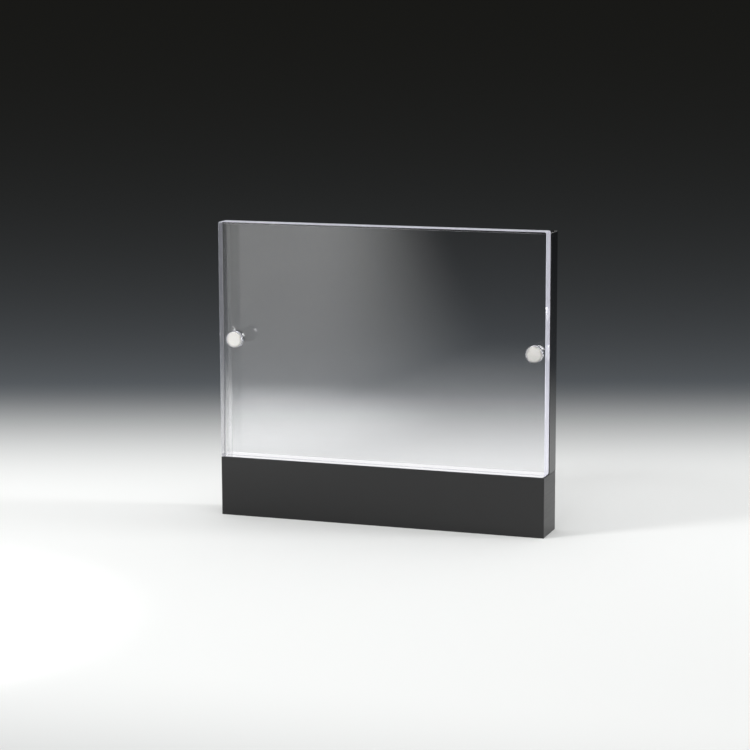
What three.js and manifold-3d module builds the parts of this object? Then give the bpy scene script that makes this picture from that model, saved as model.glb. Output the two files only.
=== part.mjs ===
// Free-standing acrylic photo frame for one landscape A6 print.
// A clear cover stands on the front ledge of a black plinth, and magnet pairs hold it against a clear
// block that is bonded on the plinth. Black bands dress the two sides of the block.
// Millimetres, +Z up, the front faces -Y, and the origin is at the bottom centre of the plinth.
import * as THREE from 'three';
import { ConvexGeometry } from 'three/addons/geometries/ConvexGeometry.js';
import { mergeVertices } from 'three/addons/utils/BufferGeometryUtils.js';
import Module from 'manifold-3d';

const wasm = await Module();
wasm.setup();

// Plinth
const FRAME_WIDTH = 170;
const PLINTH_HEIGHT = 30;

// Cover
const COVER_HEIGHT = 120;
const COVER_THICKNESS = 8;
const COVER_SETBACK = 0.3;
const COVER_SEAT_GAP = 0.2;

// Space between cover and block, where the print goes
const PRINT_GAP = 0.3;

// Block, bonded on the plinth by its foot
const BLOCK_THICKNESS = 13;
const BLOCK_TOP_STEP = 1.5;

// Black side bands, set back from the block's front so that they do not show through the cover
const BAND_THICKNESS = 0.3;
const BAND_GAP = 0.2;
const BAND_SETBACK = 1.2;

// Magnets, in blind holes in the two faces that meet; the block's are smaller, to hide behind the cover's
const COVER_MAGNET_DIAMETER = 8;
const BLOCK_MAGNET_DIAMETER = 6;
const MAGNET_THICKNESS = 4;
const MAGNET_CHAMFER = 0.4;
const MAGNET_EDGE_DISTANCE = 6.5;
const MAGNET_FIT_GAP = 0.2;
const MAGNET_SIDES = 48;

// Polished arrises
const ARRIS = 0.4;
const BAND_ARRIS = 0.1;

// Worked-out sizes
const FRAME_DEPTH = COVER_SETBACK + COVER_THICKNESS + PRINT_GAP + BLOCK_THICKNESS;
const COVER_FOOT_Z = PLINTH_HEIGHT + COVER_SEAT_GAP;
const COVER_TOP_Z = COVER_FOOT_Z + COVER_HEIGHT;
const BLOCK_HEIGHT = COVER_TOP_Z - BLOCK_TOP_STEP - PLINTH_HEIGHT;
const BLOCK_WIDTH = FRAME_WIDTH - 2 * (BAND_THICKNESS + BAND_GAP);
const BAND_DEPTH = BLOCK_THICKNESS - BAND_SETBACK;
const MAGNET_X = FRAME_WIDTH / 2 - MAGNET_EDGE_DISTANCE;
const MAGNET_Z = COVER_FOOT_Z + COVER_HEIGHT / 2;

// Planes across the depth, from front to back
const COVER_BACK_Y = -FRAME_DEPTH / 2 + COVER_SETBACK + COVER_THICKNESS;
const BLOCK_FRONT_Y = COVER_BACK_Y + PRINT_GAP;
const BLOCK_MIDDLE_Y = BLOCK_FRONT_Y + BLOCK_THICKNESS / 2;

const clearAcrylic = () => new THREE.MeshStandardMaterial({
  color: '#eef2f6', roughness: 0.05, metalness: 0, transparent: true, opacity: 0.3,
});
const blackAcrylic = () => new THREE.MeshStandardMaterial({ color: '#101011', roughness: 0.08, metalness: 0 });
const nickelPlate = () => new THREE.MeshStandardMaterial({ color: '#d8d6d0', roughness: 0.22, metalness: 1 });

const SIDES = [['left', -1], ['right', 1]];

// A box with every edge bevelled, centred on X and Y and standing on Z = 0.
function slab(width, depth, height, arris) {
  const half = [width / 2, depth / 2, height / 2];
  const points = [];
  for (const signX of [-1, 1]) {
    for (const signY of [-1, 1]) {
      for (const signZ of [-1, 1]) {
        for (let face = 0; face < 3; face += 1) {
          const inset = half.map((size, axis) => (axis === face ? size : size - arris));
          points.push(new THREE.Vector3(signX * inset[0], signY * inset[1], signZ * inset[2] + half[2]));
        }
      }
    }
  }
  return new ConvexGeometry(points);
}

// A round disc along Y from Y = 0 to Y = thickness, with bevelled rims.
function disc(radius, thickness, chamfer) {
  const profile = [
    new THREE.Vector2(0, 0),
    new THREE.Vector2(radius - chamfer, 0),
    new THREE.Vector2(radius, chamfer),
    new THREE.Vector2(radius, thickness - chamfer),
    new THREE.Vector2(radius - chamfer, thickness),
    new THREE.Vector2(0, thickness),
  ];
  return new THREE.LatheGeometry(profile, MAGNET_SIDES);
}

// A plain round cutter along Y from Y = low to Y = high.
function roundCutter(radius, low, high) {
  const length = high - low;
  return new THREE.CylinderGeometry(radius, radius, length, MAGNET_SIDES).translate(0, low + length / 2, 0);
}

function toSolid(geometry) {
  const bare = geometry.clone();
  bare.deleteAttribute('normal');
  bare.deleteAttribute('uv');
  const merged = mergeVertices(bare);
  return new wasm.Manifold(new wasm.Mesh({
    numProp: 3,
    vertProperties: Float32Array.from(merged.attributes.position.array),
    triVerts: Uint32Array.from(merged.index.array),
  }));
}

function toGeometry(solid) {
  const mesh = solid.getMesh();
  const geometry = new THREE.BufferGeometry();
  geometry.setAttribute('position', new THREE.BufferAttribute(mesh.vertProperties, 3));
  geometry.setIndex(new THREE.BufferAttribute(mesh.triVerts, 1));
  geometry.computeVertexNormals();
  return geometry;
}

function cut(geometry, tools) {
  return toGeometry(tools.reduce((solid, tool) => solid.subtract(toSolid(tool)), toSolid(geometry)));
}

// Blind holes for one pair of magnets; mouthY is the face they open in and inward points into the piece.
function magnetHoles(diameter, mouthY, inward, heightAboveFoot) {
  const depth = MAGNET_THICKNESS + MAGNET_FIT_GAP;
  const overshoot = 1;
  const ends = [mouthY - inward * overshoot, mouthY + inward * depth];
  const radius = diameter / 2 + MAGNET_FIT_GAP;
  return SIDES.map(([, sign]) => roundCutter(radius, Math.min(...ends), Math.max(...ends))
    .translate(sign * MAGNET_X, 0, heightAboveFoot));
}

const frame = new THREE.Group();

function addPiece(name, geometry, material, position) {
  const mesh = new THREE.Mesh(geometry, material);
  mesh.name = name;
  mesh.position.set(...position);
  frame.add(mesh);
}

function buildPlinth() {
  addPiece('plinth', slab(FRAME_WIDTH, FRAME_DEPTH, PLINTH_HEIGHT, ARRIS), blackAcrylic(), [0, 0, 0]);
}

function buildRearBlock() {
  const body = slab(BLOCK_WIDTH, BLOCK_THICKNESS, BLOCK_HEIGHT, ARRIS);
  const holes = magnetHoles(BLOCK_MAGNET_DIAMETER, -BLOCK_THICKNESS / 2, 1, MAGNET_Z - PLINTH_HEIGHT);
  addPiece('rear_block', cut(body, holes), clearAcrylic(), [0, BLOCK_MIDDLE_Y, PLINTH_HEIGHT]);
}

function buildSideBands() {
  const centreX = (FRAME_WIDTH - BAND_THICKNESS) / 2;
  const centreY = BLOCK_MIDDLE_Y + BAND_SETBACK / 2;
  for (const [side, sign] of SIDES) {
    const band = slab(BAND_THICKNESS, BAND_DEPTH, BLOCK_HEIGHT, BAND_ARRIS);
    addPiece(`${side}_side_band`, band, blackAcrylic(), [sign * centreX, centreY, PLINTH_HEIGHT]);
  }
}

function buildFrontCover() {
  const sheet = slab(FRAME_WIDTH, COVER_THICKNESS, COVER_HEIGHT, ARRIS);
  const holes = magnetHoles(COVER_MAGNET_DIAMETER, COVER_THICKNESS / 2, -1, MAGNET_Z - COVER_FOOT_Z);
  const centreY = COVER_BACK_Y - COVER_THICKNESS / 2;
  addPiece('front_cover', cut(sheet, holes), clearAcrylic(), [0, centreY, COVER_FOOT_Z]);
}

function buildMagnets() {
  for (const [side, sign] of SIDES) {
    const x = sign * MAGNET_X;
    const coverMagnet = disc(COVER_MAGNET_DIAMETER / 2, MAGNET_THICKNESS, MAGNET_CHAMFER);
    const blockMagnet = disc(BLOCK_MAGNET_DIAMETER / 2, MAGNET_THICKNESS, MAGNET_CHAMFER);
    addPiece(`cover_magnet_${side}`, coverMagnet, nickelPlate(), [x, COVER_BACK_Y - MAGNET_THICKNESS, MAGNET_Z]);
    addPiece(`block_magnet_${side}`, blockMagnet, nickelPlate(), [x, BLOCK_FRONT_Y, MAGNET_Z]);
  }
}

buildPlinth();
buildRearBlock();
buildSideBands();
buildFrontCover();
buildMagnets();

export default frame;
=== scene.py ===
import logging
import math
from dataclasses import dataclass, field
from enum import Enum

import bmesh
import bpy
import numpy as np
from mathutils import Matrix, Vector


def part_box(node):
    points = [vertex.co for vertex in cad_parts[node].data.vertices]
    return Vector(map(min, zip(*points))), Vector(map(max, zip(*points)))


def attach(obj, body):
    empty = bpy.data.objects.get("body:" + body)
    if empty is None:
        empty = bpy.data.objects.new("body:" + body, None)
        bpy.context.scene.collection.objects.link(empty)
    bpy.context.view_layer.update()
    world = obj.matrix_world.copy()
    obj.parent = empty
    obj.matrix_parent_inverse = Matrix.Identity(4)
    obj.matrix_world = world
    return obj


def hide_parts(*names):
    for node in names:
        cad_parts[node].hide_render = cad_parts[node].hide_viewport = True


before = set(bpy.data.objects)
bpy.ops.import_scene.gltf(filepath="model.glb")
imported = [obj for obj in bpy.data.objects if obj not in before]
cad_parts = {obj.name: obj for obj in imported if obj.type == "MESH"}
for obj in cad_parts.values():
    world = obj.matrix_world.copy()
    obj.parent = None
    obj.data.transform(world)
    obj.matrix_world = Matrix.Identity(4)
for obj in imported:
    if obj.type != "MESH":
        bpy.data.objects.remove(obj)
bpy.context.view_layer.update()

LOG = logging.getLogger("photo_frame")
MM = 0.001
# Points closer than this are one point, and edges shorter than a sliver are taken out.
WELD_MM = 0.001
SLIVER_MM = 0.0001
# A unit normal whose part along a direction is larger than this faces that way.
SQUARE_ON = 0.999
# The middle of a noise, which is stretched to the whole range of a roughness.
NOISE_LOW = 0.35
NOISE_HIGH = 0.65
# Numbers of the sockets that a Mix node uses for colours.
MIX_SHARE = 0
MIX_FIRST = 6
MIX_SECOND = 7
MIX_COLOUR = 2

Point = tuple[float, float, float]
Span = tuple[float, float]


class Zone(Enum):
    """A stretch of a piece's surface that has a finish of its own."""

    FACE = 0
    EDGE = 1
    HOLE = 2
    FOOT = 3
    SIDE = 4


class Plane(Enum):
    """Where a plate's own width, height and thickness run, as numbers of the model's axes."""

    UPRIGHT = (0, 2, 1)
    FLAT = (0, 1, 2)
    SIDEWAYS = (1, 2, 0)


class End(Enum):
    """One of a plate's two faces, seen along its thickness."""

    LOW = 0
    HIGH = 1


class Side(Enum):
    """One half of the frame, with its sign along X."""

    LEFT = -1
    RIGHT = 1

    @property
    def word(self) -> str:
        """The side as it stands in the names of nodes."""
        return self.name.lower()


def linear(colour: str) -> tuple[float, float, float, float]:
    """Turn an sRGB colour into the linear one that shaders take.

    Args:
        colour: hex value such as "#F4F5F4".

    Returns:
        Linear red, green and blue, and an alpha of 1.
    """
    parts = [int(colour[i:i + 2], 16) / 255 for i in (1, 3, 5)]
    red, green, blue = [p / 12.92 if p <= 0.04045 else ((p + 0.055) / 1.055) ** 2.4 for p in parts]
    return red, green, blue, 1.0


def add_node(
    tree: bpy.types.NodeTree, kind: str, inputs: dict[str | int, object], **settings: object
) -> bpy.types.Node:
    """Add a node, set its options and fill its sockets.

    Args:
        tree: the node tree that gets the node.
        kind: Blender's name for the node's type.
        inputs: socket name or number to a value, or to the output socket that feeds it.
        settings: attributes of the node.

    Returns:
        The new node.
    """
    node = tree.nodes.new(kind)
    for name, value in settings.items():
        setattr(node, name, value)
    for key, value in inputs.items():
        if isinstance(value, bpy.types.NodeSocket):
            tree.links.new(value, node.inputs[key])
        else:
            node.inputs[key].default_value = value
    return node


def new_material(name: str) -> tuple[bpy.types.Material, bpy.types.NodeTree]:
    """Make an empty node material.

    Args:
        name: the material's name.

    Returns:
        The material and its node tree.
    """
    material = bpy.data.materials.new(name)
    material.use_nodes = True
    material.node_tree.nodes.clear()
    return material, material.node_tree


def drifting_surface(
    tree: bpy.types.NodeTree, grain_mm: Point, detail: float, roughness: Span
) -> tuple[bpy.types.NodeSocket, bpy.types.NodeSocket]:
    """Add noise on Object coordinates, and a roughness that drifts with it.

    The roughness goes straight from its low to its high value while the noise goes through its middle.

    Args:
        tree: the node tree.
        grain_mm: size of one blotch along X, Y and Z.
        detail: how many finer layers of noise are added.
        roughness: its low and its high value.

    Returns:
        The noise, for marks that stand up, and the roughness.
    """
    coords = add_node(tree, "ShaderNodeTexCoord", {})
    scale = tuple(1 / (size * MM) for size in grain_mm)
    mapped = add_node(tree, "ShaderNodeMapping", {"Vector": coords.outputs["Object"], "Scale": scale})
    noise = add_node(tree, "ShaderNodeTexNoise", {
        "Vector": mapped.outputs["Vector"], "Scale": 1.0, "Detail": detail,
    })
    drift = add_node(tree, "ShaderNodeMapRange", {
        "Value": noise.outputs["Fac"], "From Min": NOISE_LOW, "From Max": NOISE_HIGH,
        "To Min": roughness[0], "To Max": roughness[1],
    })
    return noise.outputs["Fac"], drift.outputs["Result"]


@dataclass(frozen=True)
class ClearAcrylic:
    """Cast clear acrylic: glass-like, with a roughness that drifts and marks that stand up a little."""

    name: str
    tint: str
    clear_share: float
    roughness: Span
    grain_mm: Point
    mark_height_mm: float
    mark_strength: float = 0.5
    grain_detail: float = 2.0
    ior: float = 1.49

    def build(self) -> bpy.types.Material:
        """Make the material.

        Returns:
            The material.
        """
        material, tree = new_material(self.name)
        grain, roughness = drifting_surface(tree, self.grain_mm, self.grain_detail, self.roughness)
        marks = add_node(tree, "ShaderNodeBump", {
            "Strength": self.mark_strength, "Distance": self.mark_height_mm * MM, "Height": grain,
        })
        shader = add_node(tree, "ShaderNodeBsdfPrincipled", {
            "Base Color": linear(self.tint),
            "IOR": self.ior,
            "Transmission Weight": self.clear_share,
            "Roughness": roughness,
            "Normal": marks.outputs["Normal"],
        })
        add_node(tree, "ShaderNodeOutputMaterial", {"Surface": shader.outputs["BSDF"]})
        return material


# Sheet faces as they leave their protective film: they show what is behind and mirror the table.
FILM_FACE = ClearAcrylic(
    "cast_acrylic_clear_film_face", tint="#FEFEFF", clear_share=1.0, roughness=(0.0, 0.012),
    grain_mm=(30.0, 30.0, 8.0), mark_height_mm=0.0002,
)
# Diamond-polished top edge and arrises of the block: they mirror what is beside them and hardly show.
POLISHED_EDGE = ClearAcrylic(
    "cast_acrylic_clear_polished_edge", tint="#FDFDFF", clear_share=1.0, roughness=(0.0, 0.012),
    grain_mm=(6.0, 20.0, 6.0), mark_height_mm=0.0002,
)
# Sanded top edge and arrises of the cover: they scatter light, and draw a pale lavender line round the sheet.
SANDED_EDGE = ClearAcrylic(
    "cast_acrylic_clear_sanded_edge", tint="#E9EAFB", clear_share=0.65, roughness=(0.3, 0.45),
    grain_mm=(0.9, 9.0, 0.9), mark_height_mm=0.02,
)
# Buffed side edges of the cover: part mirror and part haze, pale from outside and faint from inside.
BUFFED_EDGE = ClearAcrylic(
    "cast_acrylic_clear_buffed_edge", tint="#F0F0FD", clear_share=0.55, roughness=(0.05, 0.1),
    grain_mm=(6.0, 20.0, 6.0), mark_height_mm=0.0002,
)
# Milled and flame-polished holes: nearly clear, so that the magnet's face shows.
POLISHED_HOLE = ClearAcrylic(
    "cast_acrylic_clear_polished_hole", tint="#FDFDFD", clear_share=1.0, roughness=(0.01, 0.05),
    grain_mm=(1.0, 1.0, 1.0), mark_height_mm=0.001,
)
# Polished undersides: they mirror the light from above, so that the clear pieces end in a white line.
POLISHED_FOOT = ClearAcrylic(
    "cast_acrylic_clear_polished_foot", tint="#FBFBFC", clear_share=1.0, roughness=(0.02, 0.06),
    grain_mm=(0.8, 4.0, 0.8), mark_height_mm=0.001,
)
# Edges of the block under the black bands: the adhesive takes a little of the light that they would mirror.
BONDED_EDGE = ClearAcrylic(
    "cast_acrylic_clear_bonded_edge", tint="#18181A", clear_share=0.88, roughness=(0.0, 0.02),
    grain_mm=(6.0, 20.0, 6.0), mark_height_mm=0.0002,
)


@dataclass(frozen=True)
class BlackAcrylic:
    """Cast black acrylic: its look is all reflection, broken by hairlines and dust."""

    name: str
    roughness: Span
    colour: str = "#070708"
    dust_colour: str = "#3A3A3D"
    ior: float = 1.49
    hairline_mm: Point = (18.0, 18.0, 0.8)
    hairline_detail: float = 2.0
    dust_pitch_mm: float = 2.5
    dust_size_mm: float = 0.12
    dust_core_share: float = 0.5

    def build(self) -> bpy.types.Material:
        """Make the material.

        Returns:
            The material.
        """
        material, tree = new_material(self.name)
        _, roughness = drifting_surface(tree, self.hairline_mm, self.hairline_detail, self.roughness)
        coords = add_node(tree, "ShaderNodeTexCoord", {})
        specks = add_node(tree, "ShaderNodeTexVoronoi", {
            "Vector": coords.outputs["Object"], "Scale": 1 / (self.dust_pitch_mm * MM),
        })
        reach = self.dust_size_mm / self.dust_pitch_mm
        dust = add_node(tree, "ShaderNodeMapRange", {
            "Value": specks.outputs["Distance"], "From Min": reach * self.dust_core_share, "From Max": reach,
            "To Min": 1.0, "To Max": 0.0,
        })
        colour = add_node(tree, "ShaderNodeMix", {
            MIX_SHARE: dust.outputs["Result"],
            MIX_FIRST: linear(self.colour),
            MIX_SECOND: linear(self.dust_colour),
        }, data_type="RGBA")
        shader = add_node(tree, "ShaderNodeBsdfPrincipled", {
            "Base Color": colour.outputs[MIX_COLOUR],
            "IOR": self.ior,
            "Roughness": roughness,
        })
        add_node(tree, "ShaderNodeOutputMaterial", {"Surface": shader.outputs["BSDF"]})
        return material


# Film-fresh sides of the bands: a black mirror that shows the table beside them.
POLISHED_BLACK = BlackAcrylic("cast_acrylic_black_polished", roughness=(0.06, 0.12))
# Sawn and buffed faces of the plinth and edges of the bands: a soft sheen without clear mirror images.
BUFFED_BLACK = BlackAcrylic("cast_acrylic_black_buffed", roughness=(0.34, 0.38))


@dataclass(frozen=True)
class NickelPlate:
    """Nickel plate over a pressed and sintered magnet: a pale satin silver with a fine orange-peel skin."""

    name: str
    colour: str
    roughness: Span
    skin_mm: Point
    skin_height_mm: float
    skin_strength: float = 0.4
    skin_detail: float = 3.0

    def build(self) -> bpy.types.Material:
        """Make the material.

        Returns:
            The material.
        """
        material, tree = new_material(self.name)
        skin, roughness = drifting_surface(tree, self.skin_mm, self.skin_detail, self.roughness)
        bumps = add_node(tree, "ShaderNodeBump", {
            "Strength": self.skin_strength, "Distance": self.skin_height_mm * MM, "Height": skin,
        })
        shader = add_node(tree, "ShaderNodeBsdfPrincipled", {
            "Base Color": linear(self.colour),
            "Metallic": 1.0,
            "Roughness": roughness,
            "Normal": bumps.outputs["Normal"],
        })
        add_node(tree, "ShaderNodeOutputMaterial", {"Surface": shader.outputs["BSDF"]})
        return material


# Barrel-plated discs: rough enough to gather light from all over the table, so that they look nearly white.
SATIN_NICKEL = NickelPlate(
    "nickel_plated_magnet", colour="#F1EFEA", roughness=(0.42, 0.55),
    skin_mm=(0.6, 0.6, 0.6), skin_height_mm=0.01,
)


class Shell:
    """Patches of surface that are welded into one closed mesh."""

    def __init__(self) -> None:
        """Start with no patches."""
        self.points: list[np.ndarray] = []
        self.faces: list[tuple[int, ...]] = []
        self.zones: list[Zone] = []
        self.smooth: list[bool] = []
        self.count = 0

    def _store(self, points: np.ndarray) -> np.ndarray:
        """Keep points for the mesh.

        Args:
            points: an array of any shape whose last axis is X, Y and Z.

        Returns:
            The points' numbers, in the same shape without the last axis.
        """
        flat = points.reshape(-1, 3)
        numbers = self.count + np.arange(len(flat)).reshape(points.shape[:-1])
        self.points.append(flat)
        self.count += len(flat)
        return numbers

    def add_rings(self, rings: np.ndarray, zone: Zone, smooth: bool, keep: np.ndarray | None = None) -> None:
        """Join neighbouring rings of points by quads.

        Args:
            rings: points, ring by ring, each ring closed on itself.
            zone: the finish of the quads.
            smooth: whether they are shaded as one curved surface.
            keep: for each quad, whether it is made; all are if this is left out.
        """
        here = self._store(rings)
        after = np.roll(here, -1, axis=1)
        quads = np.stack([here[:-1], after[:-1], after[1:], here[1:]], axis=-1)
        chosen = quads.reshape(-1, 4) if keep is None else quads[keep]
        self.faces += [tuple(quad) for quad in chosen.tolist()]
        self.zones += [zone] * len(chosen)
        self.smooth += [smooth] * len(chosen)

    def add_cap(self, ring: np.ndarray, zone: Zone) -> None:
        """Close a flat ring with one face.

        Args:
            ring: the ring's points.
            zone: the finish of the face.
        """
        self.faces.append(tuple(self._store(ring).tolist()))
        self.zones.append(zone)
        self.smooth.append(False)

    def to_object(self, name: str, finishes: dict[Zone, bpy.types.Material]) -> bpy.types.Object:
        """Weld the patches and link the piece into the scene.

        Args:
            name: the piece's name.
            finishes: the material of each zone that the piece has.

        Returns:
            The new object, at the origin.
        """
        slots = list(finishes)
        mesh = bpy.data.meshes.new(name)
        mesh.from_pydata((np.concatenate(self.points) * MM).tolist(), [], self.faces)
        for material in finishes.values():
            mesh.materials.append(material)
        mesh.polygons.foreach_set("material_index", [slots.index(zone) for zone in self.zones])
        mesh.polygons.foreach_set("use_smooth", self.smooth)
        work = bmesh.new()
        work.from_mesh(mesh)
        bmesh.ops.remove_doubles(work, verts=work.verts, dist=WELD_MM * MM)
        bmesh.ops.dissolve_degenerate(work, edges=work.edges, dist=SLIVER_MM * MM)
        bmesh.ops.recalc_face_normals(work, faces=work.faces)
        work.to_mesh(mesh)
        work.free()
        piece = bpy.data.objects.new(name, mesh)
        bpy.context.scene.collection.objects.link(piece)
        return piece


def hand_over(piece: bpy.types.Object, body: str, slot: str, *nodes: str) -> None:
    """Let a piece ride on its body and stand for its CAD nodes.

    Args:
        piece: the finished piece.
        body: the body that it moves with.
        slot: the record's material slot; not used.
        nodes: the CAD nodes that it replaces.
    """
    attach(piece, body)
    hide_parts(*nodes)
    LOG.info("%s: %d faces on body %s", piece.name, len(piece.data.polygons), body)


def box_mm(node: str) -> tuple[np.ndarray, np.ndarray]:
    """Return the low and high corner of a node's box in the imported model, in millimetres."""
    low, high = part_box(node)
    return np.array(low) / MM, np.array(high) / MM


@dataclass
class Outline:
    """A rounded rectangle: the boundary of a core rectangle, pushed out along its normals.

    A point at parameter s is core(s) + offset * normal(s). The core is the rectangle less the corner radius,
    so an offset equal to the radius gives the full outline, and a smaller one an inset outline.
    """

    width: float
    height: float
    radius: float
    stops_u: np.ndarray
    stops_v: np.ndarray
    corner_steps: int = 4
    core: np.ndarray = field(init=False)
    normal: np.ndarray = field(init=False)

    def __post_init__(self) -> None:
        """Work out the core points and normals, counter-clockwise from the bottom left corner."""
        u = self.width / 2 - self.radius
        v = self.height / 2 - self.radius
        along_u = np.sort(self.stops_u[np.abs(self.stops_u) < u - WELD_MM])
        along_v = np.sort(self.stops_v[np.abs(self.stops_v) < v - WELD_MM])
        sides = [
            (np.column_stack([along_u, np.full_like(along_u, -v)]), (u, -v), -90),
            (np.column_stack([np.full_like(along_v, u), along_v]), (u, v), 0),
            (np.column_stack([along_u[::-1], np.full_like(along_u, v)]), (-u, v), 90),
            (np.column_stack([np.full_like(along_v, -u), along_v[::-1]]), (-u, -v), 180),
        ]
        cores, normals = [], []
        for points, corner, start in sides:
            turn = np.radians(np.linspace(start, start + 90, self.corner_steps + 1))
            arc = np.column_stack([np.cos(turn), np.sin(turn)])
            cores += [points, np.tile(corner, (len(turn), 1))]
            normals += [np.tile(arc[0], (len(points), 1)), arc]
        self.core = np.concatenate(cores)
        self.normal = np.concatenate(normals)

    def at(self, offset: float) -> np.ndarray:
        """Return the outline's points at an offset from the core."""
        return self.core + offset * self.normal

    def middles(self) -> tuple[int, int]:
        """Find the points half-way along the top and the bottom side.

        Returns:
            The number of the top point and that of the bottom point.
        """
        miss = np.abs(self.core[:, 0])
        top = np.where(self.normal[:, 1] > SQUARE_ON, miss, np.inf)
        bottom = np.where(self.normal[:, 1] < -SQUARE_ON, miss, np.inf)
        return int(np.argmin(top)), int(np.argmin(bottom))


def fan(centre: float, distance: float, low: float, high: float, step_deg: float) -> np.ndarray:
    """Places on a line where rays at even angles from a point beside it land.

    Args:
        centre: the point's place along the line.
        distance: how far the point is from the line.
        low: start of the stretch of line.
        high: end of the stretch of line.
        step_deg: about how many degrees lie between two rays.

    Returns:
        centre + distance * tan(angle) for each ray, both ends included.
    """
    angles = np.arctan((np.array([low, high]) - centre) / distance)
    count = max(2, round(math.degrees(angles[1] - angles[0]) / step_deg) + 1)
    return centre + distance * np.tan(np.linspace(angles[0], angles[1], count))


def arris_profile(thickness: float, corner: float, arris: float, steps: int) -> np.ndarray:
    """Offsets and heights of a plate's edge with a rounded arris at both faces.

    A quarter circle of the arris radius turns from each face into the straight edge between them.

    Args:
        thickness: the plate's thickness.
        corner: offset of the straight edge.
        arris: radius of the rounding.
        steps: facets of each rounding.

    Returns:
        Rows of (offset, height), from the low face to the high one.
    """
    turn = np.radians(np.linspace(0, 90, steps + 1))
    offsets = corner - arris + arris * np.sin(turn)
    heights = arris - arris * np.cos(turn)
    low = np.column_stack([offsets, heights])
    high = np.column_stack([offsets, thickness - heights])[::-1]
    return np.concatenate([low, high])


@dataclass
class Hole:
    """A round blind hole, with a bevelled mouth and a rounded foot."""

    u: float
    v: float
    radius: float
    depth: float
    mouth: float = 0.05
    foot: float = 0.1
    foot_round_share: float = 0.3

    def profile(self) -> np.ndarray:
        """Work out the wall from the mouth to the floor, with one point on the round of the foot.

        Returns:
            Rows of (radius, depth).
        """
        bulge = self.foot * self.foot_round_share
        return np.array([
            (self.radius + self.mouth, 0.0),
            (self.radius, self.mouth),
            (self.radius, self.depth - self.foot),
            (self.radius - bulge, self.depth - bulge),
            (self.radius - self.foot, self.depth),
        ])


@dataclass
class Plate:
    """A flat piece with rounded arrises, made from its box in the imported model."""

    node: str
    plane: Plane
    arris: float
    corner: float
    arris_steps: int = 3
    ray_step_deg: float = 5.0
    low: np.ndarray = field(init=False)
    high: np.ndarray = field(init=False)

    def __post_init__(self) -> None:
        """Read the node's box."""
        self.low, self.high = box_mm(self.node)

    @property
    def size(self) -> np.ndarray:
        """Width, height and thickness in the plate's own directions."""
        return (self.high - self.low)[list(self.plane.value)]

    def place(self, points: np.ndarray) -> np.ndarray:
        """Carry points from the plate's own directions to the model's.

        Args:
            points: across the plate from its centre, and along its thickness from its low face.

        Returns:
            The same points as X, Y and Z.
        """
        axes = list(self.plane.value)
        start = ((self.low + self.high) / 2)[axes]
        start[2] = self.low[axes[2]]
        placed = np.empty_like(points)
        placed[..., axes] = points + start
        return placed

    def ring(self, outline: Outline, offset: float, height: float) -> np.ndarray:
        """Return one ring of the outline, placed."""
        flat = outline.at(offset)
        return self.place(np.column_stack([flat, np.full(len(flat), height)]))

    def plain_outline(self) -> Outline:
        """Return the outline with one point half-way along each side."""
        return Outline(self.size[0], self.size[1], self.corner, np.array([0.0]), np.array([0.0]))

    def add_sides(
        self, shell: Shell, outline: Outline, under: Zone = Zone.EDGE, beside: Zone = Zone.EDGE
    ) -> None:
        """Add the arrises and the straight edge.

        Args:
            shell: collects the patches.
            outline: the plate's outline.
            under: finish of the straight edge that faces down.
            beside: finish of the straight edges to the left and right.
        """
        profile = arris_profile(self.size[2], self.corner, self.arris, self.arris_steps)
        rings = np.stack([self.ring(outline, offset, height) for offset, height in profile])
        turn = self.arris_steps + 1
        straight = rings[turn - 1:turn + 1]
        shell.add_rings(rings[:turn], Zone.EDGE, True)
        shell.add_rings(rings[turn:], Zone.EDGE, True)
        downward = outline.normal[None, :, 1] < -SQUARE_ON
        sideways = np.abs(outline.normal[None, :, 0]) > SQUARE_ON
        shell.add_rings(straight, under, False, downward)
        shell.add_rings(straight, beside, False, sideways)
        shell.add_rings(straight, Zone.EDGE, False, ~(downward | sideways))

    def face_ring(self, outline: Outline, end: End) -> np.ndarray:
        """Return the ring where a face meets its arris."""
        height = 0.0 if end is End.LOW else self.size[2]
        return self.ring(outline, self.corner - self.arris, height)

    def solid(self) -> Shell:
        """Make the plate with no holes.

        Returns:
            The closed plate.
        """
        shell = Shell()
        outline = self.plain_outline()
        self.add_sides(shell, outline)
        for end in End:
            shell.add_cap(self.face_ring(outline, end), Zone.FACE)
        return shell


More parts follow.
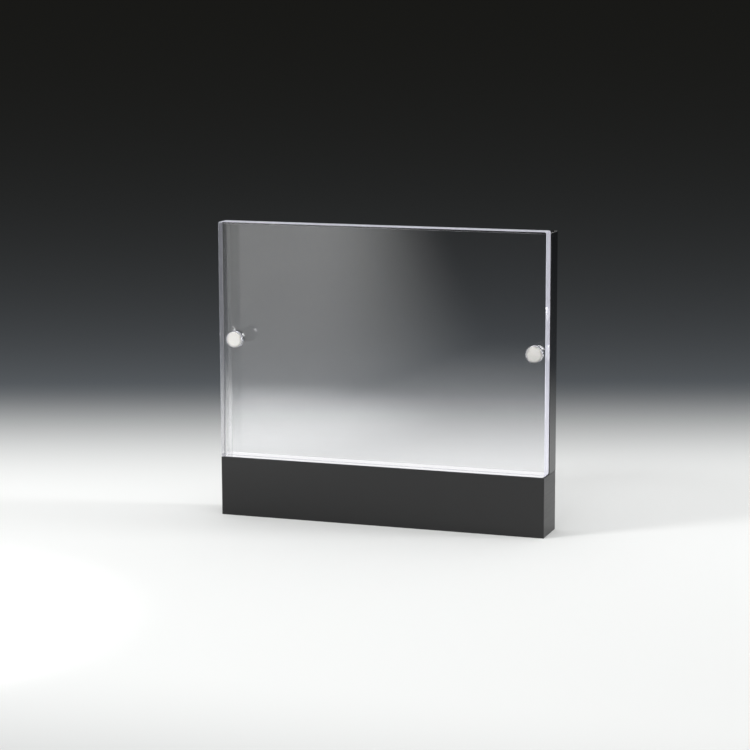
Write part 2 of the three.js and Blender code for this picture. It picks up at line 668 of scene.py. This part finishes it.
@dataclass
class DrilledPlate(Plate):
    """A plate with one blind hole in each half of a face."""

    hole_end: End = End.HIGH
    fit_gap: float = 0.2
    hole_u: float = field(init=False)
    hole_v: float = field(init=False)
    hole_radius: float = field(init=False)
    hole_depth: float = field(init=False)

    def fit_holes(self, magnet: str) -> None:
        """Take the holes' sizes and places from the right-hand magnet.

        Args:
            magnet: the magnet's node.
        """
        low, high = box_mm(magnet)
        centre = (low + high) / 2 - (self.low + self.high) / 2
        self.hole_u, self.hole_v = centre[0], centre[2]
        self.hole_radius = (high[0] - low[0]) / 2 + self.fit_gap
        self.hole_depth = high[1] - low[1] + self.fit_gap

    def drilled_outline(self) -> Outline:
        """Work out an outline whose points lie on rays from the holes, so that faces join without slivers.

        Returns:
            The outline.
        """
        width, height, _ = self.size
        half_u, half_v = width / 2, height / 2
        across = fan(-self.hole_u, half_v, -half_u, 0.0, self.ray_step_deg)
        upright = fan(self.hole_v, half_u - self.hole_u, -half_v, half_v, self.ray_step_deg)
        stops_u = np.unique(np.round(np.concatenate([across, -across]), 6))
        return Outline(width, height, self.corner, stops_u, upright)

    def half_ring(self, outline: Outline, side: Side) -> np.ndarray:
        """Work out the boundary of one half of the drilled face, counter-clockwise.

        Args:
            outline: the plate's outline.
            side: the half of the face.

        Returns:
            Points of the outline's half, then of the middle line, which both halves share.
        """
        rim = outline.at(self.corner - self.arris)
        top, bottom = outline.middles()
        first, last = (top, bottom) if side is Side.LEFT else (bottom, top)
        numbers = np.arange(first, first + (last - first) % len(rim) + 1) % len(rim)
        reach = abs(rim[top, 1])
        middle = fan(self.hole_v, self.hole_u, -reach, reach, self.ray_step_deg)[1:-1][::-side.value]
        return np.concatenate([rim[numbers], np.column_stack([np.zeros_like(middle), middle])])

    def add_drilled_face(self, shell: Shell, outline: Outline) -> None:
        """Add the face with its two holes.

        Each half is a ring of quads from its boundary to the hole's mouth, along rays from the hole's centre.

        Args:
            shell: collects the patches.
            outline: the plate's outline.
        """
        face = 0.0 if self.hole_end is End.LOW else self.size[2]
        inward = 1 if self.hole_end is End.LOW else -1
        for side in Side:
            hole = Hole(side.value * self.hole_u, self.hole_v, self.hole_radius, self.hole_depth)
            boundary = self.half_ring(outline, side)
            rays = boundary - (hole.u, hole.v)
            rays /= np.linalg.norm(rays, axis=1, keepdims=True)
            rings = []
            for radius, depth in hole.profile():
                flat = rays * radius + (hole.u, hole.v)
                rings.append(self.place(np.column_stack([flat, np.full(len(flat), face + inward * depth)])))
            outer = self.place(np.column_stack([boundary, np.full(len(boundary), face)]))
            shell.add_rings(np.stack([outer, rings[0]]), Zone.FACE, False)
            shell.add_rings(np.stack(rings), Zone.HOLE, True)
            shell.add_cap(rings[-1], Zone.HOLE)

    def drilled(self) -> Shell:
        """Make the plate with its holes, and with finishes of their own under its foot and beside it.

        Returns:
            The closed plate.
        """
        shell = Shell()
        outline = self.drilled_outline()
        self.add_sides(shell, outline, Zone.FOOT, Zone.SIDE)
        self.add_drilled_face(shell, outline)
        blank = End.LOW if self.hole_end is End.HIGH else End.HIGH
        shell.add_cap(self.face_ring(outline, blank), Zone.FACE)
        return shell


@dataclass
class Magnet:
    """A disc magnet along Y, with a face that is a little domed and bevelled rims."""

    node: str
    dome: float = 0.12
    bevel: float = 0.7
    bevel_drop: float = 0.35
    shoulder_inset: float = 0.08
    shoulder_rise: float = 0.04
    shoulder_drop: float = 0.06
    back_rim: float = 0.3
    hub_share: float = 0.15
    dome_steps: int = 8
    sides: int = 96

    def shell(self) -> Shell:
        """Make the disc.

        Its profile of radius r and depth y is carried round its axis: the face is y = dome * (r / face) ** 2,
        then come the bevel, the wall with its soft shoulder, and the flat back with a bevel of its own.

        Returns:
            The closed disc.
        """
        low, high = box_mm(self.node)
        radius = (high[0] - low[0]) / 2
        centre = (low + high) / 2
        face = radius - self.bevel
        share = np.linspace(self.hub_share, 1, self.dome_steps)
        dome = np.column_stack([face * share, low[1] + self.dome * share ** 2])
        shoulder = low[1] + self.dome + self.bevel_drop
        wall = np.array([
            (radius - self.shoulder_inset, shoulder - self.shoulder_rise),
            (radius, shoulder + self.shoulder_drop),
            (radius, high[1] - self.back_rim),
            (radius - self.back_rim, high[1]),
        ])
        profile = np.concatenate([dome, wall])
        angle = np.linspace(0, 2 * math.pi, self.sides, endpoint=False)
        rings = np.empty((len(profile), self.sides, 3))
        rings[..., 0] = centre[0] + profile[:, :1] * np.cos(angle)
        rings[..., 1] = profile[:, 1:]
        rings[..., 2] = centre[2] + profile[:, :1] * np.sin(angle)
        shell = Shell()
        shell.add_rings(rings[:self.dome_steps], Zone.FACE, True)
        shell.add_rings(rings[self.dome_steps - 1:self.dome_steps + 1], Zone.FACE, False)
        shell.add_rings(rings[self.dome_steps:-1], Zone.FACE, True)
        shell.add_rings(rings[-2:], Zone.FACE, False)
        shell.add_cap(rings[0], Zone.FACE)
        shell.add_cap(rings[-1], Zone.FACE)
        return shell

    def build(self, body: str, plating: bpy.types.Material) -> None:
        """Make the disc and let it ride on a body."""
        piece = self.shell().to_object(f"{self.node}_disc", {Zone.FACE: plating})
        hand_over(piece, body, "nickel_plate", self.node)


@dataclass
class Finishes:
    """The materials of the frame, made once and shared."""

    film_face: bpy.types.Material = field(default_factory=FILM_FACE.build)
    polished_edge: bpy.types.Material = field(default_factory=POLISHED_EDGE.build)
    sanded_edge: bpy.types.Material = field(default_factory=SANDED_EDGE.build)
    buffed_edge: bpy.types.Material = field(default_factory=BUFFED_EDGE.build)
    hole: bpy.types.Material = field(default_factory=POLISHED_HOLE.build)
    foot: bpy.types.Material = field(default_factory=POLISHED_FOOT.build)
    bonded_edge: bpy.types.Material = field(default_factory=BONDED_EDGE.build)
    polished_black: bpy.types.Material = field(default_factory=POLISHED_BLACK.build)
    buffed_black: bpy.types.Material = field(default_factory=BUFFED_BLACK.build)
    nickel: bpy.types.Material = field(default_factory=SATIN_NICKEL.build)

    def cover_zones(self) -> dict[Zone, bpy.types.Material]:
        """Return the finishes of the cover."""
        zones = {Zone.FACE: self.film_face, Zone.EDGE: self.sanded_edge, Zone.HOLE: self.hole}
        return zones | {Zone.FOOT: self.foot, Zone.SIDE: self.buffed_edge}

    def block_zones(self) -> dict[Zone, bpy.types.Material]:
        """Return the finishes of the block."""
        zones = {Zone.FACE: self.film_face, Zone.EDGE: self.polished_edge, Zone.HOLE: self.hole}
        return zones | {Zone.FOOT: self.foot, Zone.SIDE: self.bonded_edge}

    def plinth_zones(self) -> dict[Zone, bpy.types.Material]:
        """Return the finish of the plinth, the same all over."""
        return {Zone.FACE: self.buffed_black, Zone.EDGE: self.buffed_black}

    def band_zones(self) -> dict[Zone, bpy.types.Material]:
        """Return the finishes of a side band."""
        return {Zone.FACE: self.polished_black, Zone.EDGE: self.buffed_black}


@dataclass
class Stand:
    """Plinth, block and side bands, which are bonded together, with the block's magnets."""

    finishes: Finishes
    plinth_arris: float = 0.15
    plinth_corner: float = 0.3
    block_arris: float = 0.06
    block_corner: float = 0.08
    band_arris: float = 0.05
    band_corner: float = 0.1
    bond_line: float = 0.05

    def build_plinth(self) -> None:
        """Make the black bar."""
        plinth = Plate("plinth", Plane.FLAT, self.plinth_arris, self.plinth_corner)
        piece = plinth.solid().to_object("plinth_bar", self.finishes.plinth_zones())
        hand_over(piece, "stand", "black_acrylic", "plinth")

    def build_block(self) -> None:
        """Make the clear block, a bond line above the plinth."""
        block = DrilledPlate(
            "rear_block", Plane.UPRIGHT, self.block_arris, self.block_corner, hole_end=End.LOW
        )
        block.low[2] += self.bond_line
        block.fit_holes("block_magnet_right")
        piece = block.drilled().to_object("clear_block", self.finishes.block_zones())
        hand_over(piece, "stand", "clear_acrylic", "rear_block")

    def build_side(self, side: Side) -> None:
        """Make the band and the block's magnet of one side.

        Args:
            side: the half of the frame.
        """
        band = Plate(f"{side.word}_side_band", Plane.SIDEWAYS, self.band_arris, self.band_corner)
        piece = band.solid().to_object(f"{side.word}_band", self.finishes.band_zones())
        hand_over(piece, "stand", "black_acrylic", f"{side.word}_side_band")
        Magnet(f"block_magnet_{side.word}").build("stand", self.finishes.nickel)

    def build(self) -> None:
        """Make the stand's pieces."""
        self.build_plinth()
        self.build_block()
        for side in Side:
            self.build_side(side)


@dataclass
class Cover:
    """The clear sheet that pulls off, with its magnets."""

    finishes: Finishes
    arris: float = 0.1
    corner: float = 1.0

    def build(self) -> None:
        """Make the cover's pieces."""
        sheet = DrilledPlate("front_cover", Plane.UPRIGHT, self.arris, self.corner, hole_end=End.HIGH)
        sheet.fit_holes("cover_magnet_right")
        piece = sheet.drilled().to_object("clear_cover", self.finishes.cover_zones())
        hand_over(piece, "cover", "clear_acrylic", "front_cover")
        for side in Side:
            Magnet(f"cover_magnet_{side.word}").build("cover", self.finishes.nickel)


@dataclass(frozen=True)
class Lamp:
    """A lamp that faces a point, and that the camera doesn't see."""

    name: str
    spot_m: Point
    target_m: Point

    def link(self, light: bpy.types.Light) -> None:
        """Put a light at the lamp's place.

        Args:
            light: the light, with its strength and shape set.
        """
        aim = Vector(self.target_m) - Vector(self.spot_m)
        turn = aim.to_track_quat("-Z", "Y").to_matrix().to_4x4()
        lamp = bpy.data.objects.new(self.name, light)
        lamp.matrix_world = Matrix.Translation(self.spot_m) @ turn
        lamp.visible_camera = False
        bpy.context.scene.collection.objects.link(lamp)


@dataclass(frozen=True)
class Softbox(Lamp):
    """A square lamp; its radiance is how bright its face is, where 1 is white."""

    side_m: float
    radiance: float

    def build(self) -> None:
        """Make the lamp."""
        light = bpy.data.lights.new(self.name, "AREA")
        light.shape = "SQUARE"
        light.size = self.side_m
        light.energy = self.radiance * math.pi * self.side_m ** 2
        self.link(light)


@dataclass(frozen=True)
class Spotlight(Lamp):
    """A round lamp whose light has faded out at its reach, across the beam from its target.

    The irradiance is the light on a face at the target that is square to the beam.
    """

    reach_m: float
    irradiance: float
    lamp_radius_m: float

    def build(self) -> None:
        """Make the lamp."""
        throw = math.dist(self.spot_m, self.target_m)
        light = bpy.data.lights.new(self.name, "SPOT")
        light.spot_size = 2 * math.atan(self.reach_m / throw)
        light.spot_blend = 1.0
        light.shadow_soft_size = self.lamp_radius_m
        light.energy = self.irradiance * 4 * math.pi * throw ** 2
        self.link(light)


LAMPS: tuple[Softbox | Spotlight, ...] = (
    # Main light, from the upper left in front
    Softbox("key_softbox", (-1.2, -1.065, 1.125), (0.0, 0.0, 0.07), side_m=0.375, radiance=27.0),
    # Light along the right-hand edges
    Spotlight(
        "rim_lamp", (1.6, 0.35, 0.25), (0.0, 0.0, 0.09),
        reach_m=0.4, irradiance=2.6, lamp_radius_m=0.2,
    ),
    # Low light on the discs and the plinth's front
    Softbox("front_softbox", (0.0, -1.9, 0.33), (0.0, 0.0, 0.08), side_m=0.5, radiance=9.5),
    # A pool of light on the table at the front left, which the lower part of the clear faces mirrors
    Spotlight(
        "pool_lamp", (-0.177, -0.249, 0.6), (-0.177, -0.25, 0.0),
        reach_m=0.135, irradiance=5.8, lamp_radius_m=0.03,
    ),
)


@dataclass
class Stage:
    """A pale table that falls off into charcoal as painted shade, with a painted light patch at the front
    left, under lamps and a light tent.
    """

    table_half_m: float = 60.0
    # Colours of the paint: pale by the frame, and charcoal and far for the painted shade away from it
    pale: str = "#F3F4F3"
    charcoal: str = "#575B5F"
    far: str = "#1D1D1B"
    # Painted shade behind the frame: its fade, along a line turned to the left of its depth, and how the
    # charcoal then deepens
    back_turn_deg: float = 19.1
    back_fade_m: Span = (0.057, 0.424)
    tail_start_m: float = 0.40
    tail_power: float = 1.45
    # Painted shade in front of the frame: its fade
    front_fade_m: Span = (0.26, 0.62)
    # Edge of the pale stretch at the front left, a painted light patch that the clear faces mirror: it moves
    # to the left by the slope for each step forward
    stretch_slope: float = 0.36
    stretch_fade_m: Span = (-0.055, 0.105)
    # Light tent: its colours, and where it brightens and softens, as sines of the height angle
    horizon: str = "#1B1B1C"
    tent: str = "#FFFFFF"
    tent_rise: Span = (0.156, 0.198)
    tent_fall: Span = (0.28, 0.55)
    zenith_share: float = 0.79
    tent_radiance: float = 0.97

    def table_material(self) -> bpy.types.Material:
        """Make the table's paint.

        It is pale by the frame and turns to charcoal behind and in front, which is painted shade, apart from
        a pale stretch at the front left, a painted light patch that the clear faces mirror. The share of pale
        is behind * max(front, stretch), and each of the three fades smoothly from 1 to 0 with the distance
        along its own direction. The charcoal nears its far colour, so that the painted shade deepens, as
        max(distance / tail_start, 1) ** -tail_power falls.

        Returns:
            The material.
        """
        material, tree = new_material("painted_table")
        coords = add_node(tree, "ShaderNodeTexCoord", {})
        turn = math.radians(self.back_turn_deg)
        runs = (
            ((-math.sin(turn), math.cos(turn), 0.0), self.back_fade_m),
            ((0.0, -1.0, 0.0), self.front_fade_m),
            ((1.0, -self.stretch_slope, 0.0), self.stretch_fade_m),
        )
        distances = []
        fades = []
        for direction, (start, stop) in runs:
            distance = add_node(tree, "ShaderNodeVectorMath", {
                0: coords.outputs["Object"], 1: direction,
            }, operation="DOT_PRODUCT")
            fade = add_node(tree, "ShaderNodeMapRange", {
                "Value": distance.outputs["Value"], "From Min": start, "From Max": stop,
                "To Min": 1.0, "To Max": 0.0,
            }, interpolation_type="SMOOTHSTEP")
            distances.append(distance.outputs["Value"])
            fades.append(fade.outputs["Result"])
        # The charcoal behind and in front is painted shade, and the pale stretch is a painted light patch
        behind, front, stretch = fades
        ahead = add_node(tree, "ShaderNodeMath", {0: front, 1: stretch}, operation="MAXIMUM")
        share = add_node(tree, "ShaderNodeMath", {0: behind, 1: ahead.outputs["Value"]}, operation="MULTIPLY")
        tail = add_node(tree, "ShaderNodeMath", {0: distances[0]}, operation="ABSOLUTE")
        steps = (("DIVIDE", self.tail_start_m), ("MAXIMUM", 1.0), ("POWER", -self.tail_power))
        for operation, number in steps:
            value = tail.outputs["Value"]
            tail = add_node(tree, "ShaderNodeMath", {0: value, 1: number}, operation=operation)
        dark = add_node(tree, "ShaderNodeMix", {
            MIX_SHARE: tail.outputs["Value"],
            MIX_FIRST: linear(self.far),
            MIX_SECOND: linear(self.charcoal),
        }, data_type="RGBA")
        colour = add_node(tree, "ShaderNodeMix", {
            MIX_SHARE: share.outputs["Value"],
            MIX_FIRST: dark.outputs[MIX_COLOUR],
            MIX_SECOND: linear(self.pale),
        }, data_type="RGBA")
        shader = add_node(tree, "ShaderNodeBsdfDiffuse", {"Color": colour.outputs[MIX_COLOUR]})
        add_node(tree, "ShaderNodeOutputMaterial", {"Surface": shader.outputs["BSDF"]})
        return material

    def add_table(self) -> None:
        """Add the table top, at the height of the plinth's foot."""
        half = self.table_half_m
        corners = [(-half, -half, 0), (half, -half, 0), (half, half, 0), (-half, half, 0)]
        mesh = bpy.data.meshes.new("table_top")
        mesh.from_pydata(corners, [], [(0, 1, 2, 3)])
        mesh.materials.append(self.table_material())
        table = bpy.data.objects.new("table_top", mesh)
        bpy.context.scene.collection.objects.link(table)

    def add_tent(self) -> None:
        """Add the light tent: dark at the horizon, bright low down and a little softer towards the zenith."""
        world = bpy.data.worlds.new("light_tent")
        bpy.context.scene.world = world
        world.use_nodes = True
        tree = world.node_tree
        tree.nodes.clear()
        coords = add_node(tree, "ShaderNodeTexCoord", {})
        height = add_node(tree, "ShaderNodeSeparateXYZ", {0: coords.outputs["Generated"]})
        stretches = ((self.tent_rise, 0.0, 1.0), (self.tent_fall, 1.0, self.zenith_share))
        levels = []
        for (low, high), first, last in stretches:
            level = add_node(tree, "ShaderNodeMapRange", {
                "Value": height.outputs["Z"], "From Min": low, "From Max": high,
                "To Min": first, "To Max": last,
            }, interpolation_type="SMOOTHSTEP")
            levels.append(level.outputs["Result"])
        glow = add_node(tree, "ShaderNodeMath", {0: levels[0], 1: levels[1]}, operation="MULTIPLY")
        colour = add_node(tree, "ShaderNodeMix", {
            MIX_SHARE: glow.outputs["Value"],
            MIX_FIRST: linear(self.horizon),
            MIX_SECOND: linear(self.tent),
        }, data_type="RGBA")
        light = add_node(tree, "ShaderNodeBackground", {
            "Color": colour.outputs[MIX_COLOUR], "Strength": self.tent_radiance,
        })
        add_node(tree, "ShaderNodeOutputWorld", {"Surface": light.outputs["Background"]})

    def build(self) -> None:
        """Make the table, the lamps and the light tent."""
        self.add_table()
        for lamp in LAMPS:
            lamp.build()
        self.add_tent()


@dataclass
class Viewpoint:
    """The camera, fitted to the object's corners in the photograph."""

    spot_mm: Point = (367.09, -1072.23, 266.74)
    target_mm: Point = (-5.62, 0.0, 74.63)
    roll_deg: float = -0.208
    lens_mm: float = 110.52
    sensor_mm: float = 36.0
    clip_end_m: float = 100.0

    def build(self) -> None:
        """Make the camera and let the scene use it."""
        camera = bpy.data.cameras.new("photo_camera")
        camera.lens = self.lens_mm
        camera.sensor_width = self.sensor_mm
        camera.clip_end = self.clip_end_m
        spot = Vector(self.spot_mm) * MM
        ahead = (Vector(self.target_mm) * MM - spot).normalized()
        level = ahead.cross(Vector((0, 0, 1))).normalized()
        plumb = level.cross(ahead)
        roll = math.radians(self.roll_deg)
        right = math.cos(roll) * level + math.sin(roll) * plumb
        up = math.cos(roll) * plumb - math.sin(roll) * level
        turn = Matrix((right, up, -ahead)).transposed().to_4x4()
        camera_object = bpy.data.objects.new("photo_camera", camera)
        camera_object.matrix_world = Matrix.Translation(spot) @ turn
        bpy.context.scene.collection.objects.link(camera_object)
        bpy.context.scene.camera = camera_object


def set_light_paths() -> None:
    """Allow enough bounces for light that travels along inside the thick acrylic."""
    cycles = bpy.context.scene.cycles
    cycles.max_bounces = 40
    cycles.glossy_bounces = 36
    cycles.transmission_bounces = 36


def main() -> None:
    """Build the camera, the frame's sub-assemblies and the stage."""
    logging.basicConfig(level=logging.INFO, format="%(name)s: %(message)s")
    bpy.context.scene.view_settings.view_transform = "Standard"
    Viewpoint().build()
    finishes = Finishes()
    Stand(finishes).build()
    Cover(finishes).build()
    Stage().build()
    set_light_paths()


if __name__ == "__main__":
    main()
